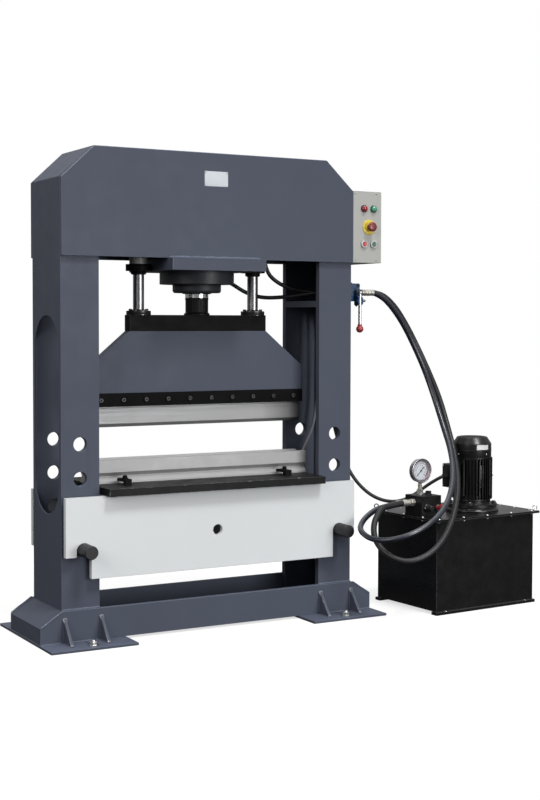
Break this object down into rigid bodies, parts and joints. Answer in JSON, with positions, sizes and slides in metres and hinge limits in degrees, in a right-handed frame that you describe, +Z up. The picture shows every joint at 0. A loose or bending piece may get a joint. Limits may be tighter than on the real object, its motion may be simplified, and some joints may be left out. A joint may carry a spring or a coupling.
{
  "type": "hydraulic press",
  "caption": "Two-column hydraulic press with guided ram, bending blade and V die on a pinned table, control box, lever valve, hoses and a separate motor-driven oil tank.",
  "frame": {"origin": "floor level, centre of the press frame between the columns, under the cylinder's axis", "axes": "+X to the right along the frame, towards the power unit; +Y to the rear; +Z up along the ram's travel"},
  "size_m": [2.1205, 0.7666, 1.8],
  "materials": {
    "frame_paint": "satin",
    "black_steel": "satin",
    "table_paint": "satin",
    "ground_steel": "ground",
    "chrome": "polished",
    "zinc": "zinc plated",
    "plug_plastic": "satin",
    "box_paint": "satin",
    "lamp_plastic": "gloss",
    "ring_plastic": "gloss",
    "red_plastic": "gloss",
    "green_plastic": "gloss",
    "black_plastic": "matte",
    "valve_blue": "gloss",
    "unit_black": "gloss",
    "pump_alloy": "cast",
    "gauge_steel": "satin",
    "hose_rubber": "satin",
    "cable_black": "satin",
    "cable_grey": "satin"
  },
  "bodies": {
    "press": {"base_frame": "frame_paint", "cable_glands": "black_plastic", "control_box": "box_paint", "control_cover": "box_paint", "control_rings": "ring_plastic", "cylinder_barrel": "frame_paint", "cylinder_gland": "black_steel", "die_clamps": "black_steel", "fan_cowl": "unit_black", "filler_cap": "black_plastic", "foot_bolts": "zinc", "guide_bushes": "black_steel", "head_frame": "frame_paint", "hose_cylinder_low": "hose_rubber", "hose_cylinder_top": "hose_rubber", "hose_pressure": "hose_rubber", "hose_return": "hose_rubber", "hose_unions": "zinc", "left_column": "frame_paint", "lever_bracket": "black_steel", "manifold_block": "black_steel", "motor_cable": "cable_black", "motor_case": "unit_black", "oil_pump": "pump_alloy", "oil_tank": "unit_black", "pilot_lamps": "lamp_plastic", "pressure_gauge": "gauge_steel", "pump_carrier": "unit_black", "relief_cartridge": "black_steel", "right_column": "frame_paint", "supply_lead": "cable_grey", "supply_lead_coil": "cable_grey", "supply_lead_tail": "cable_grey", "supply_plug": "plug_plastic", "support_pins": "black_steel", "switch_blocks": "black_plastic", "table_bed_plate": "black_steel", "table_frame": "table_paint", "tank_lid": "unit_black", "terminal_box": "unit_black", "unit_fasteners": "zinc", "v_die": "ground_steel", "valve_body": "valve_blue"},
    "ram": {"piston_rod": "chrome", "rod_coupling": "black_steel", "guide_rods": "chrome", "ram_screws": "black_steel", "ram_bar": "black_steel", "ram_plate": "frame_paint", "blade_holder": "black_steel", "bending_blade": "ground_steel"},
    "lever": {"valve_lever": "chrome", "lever_ball": "red_plastic"},
    "spool": {"valve_spool": "ground_steel"},
    "start_button": {"button_green": "green_plastic"},
    "off_button": {"button_red": "red_plastic"},
    "emergency_button": {"stop_button": "red_plastic"},
    "needle": {"gauge_needle": "black_plastic"},
    "flow_knob": {"relief_knob": "red_plastic"},
    "rotor": {"motor_rotor": "ground_steel"}
  },
  "joints": [
    {"name": "ram_slide", "type": "slide", "parent": "press", "child": "ram", "axis": [0, 0, 1], "range_m": [-0.14, 0.015]},
    {"name": "lever_swing", "type": "hinge", "parent": "press", "child": "lever", "pos_m": [0.676, -0.116, 1.252], "axis": [1, 0, 0], "range_deg": [-10, 10], "stiffness_Nm_per_rad": 3},
    {"name": "spool_slide", "type": "slide", "parent": "press", "child": "spool", "axis": [0, 1, 0], "range_m": [-0.0061, 0.0061]},
    {"name": "start_button_slide", "type": "slide", "parent": "press", "child": "start_button", "axis": [0, 1, 0], "range_m": [0, 0.004], "stiffness_N_per_m": 400},
    {"name": "off_button_slide", "type": "slide", "parent": "press", "child": "off_button", "axis": [0, 1, 0], "range_m": [0, 0.004], "stiffness_N_per_m": 400},
    {"name": "emergency_button_slide", "type": "slide", "parent": "press", "child": "emergency_button", "axis": [0, 1, 0], "range_m": [0, 0.005]},
    {"name": "needle_turn", "type": "hinge", "parent": "press", "child": "needle", "pos_m": [0.90251, -0.2299, 0.563], "axis": [-0.0698, 0.9976, 0], "range_deg": [0, 270], "stiffness_Nm_per_rad": 0.002},
    {"name": "flow_knob_turn", "type": "hinge", "parent": "press", "child": "flow_knob", "pos_m": [0.95228, -0.29659, 0.417], "axis": [-0.0698, 0.9976, 0], "range_deg": [0, 360]},
    {"name": "rotor_spin", "type": "hinge", "parent": "press", "child": "rotor", "pos_m": [1.17927, -0.20253, 0.5], "axis": [0, 0, 1], "continuous": true}
  ],
  "couplings": [
    {"joint": "spool_slide", "follows": "lever_swing", "m_per_rad": -0.034}
  ]
}
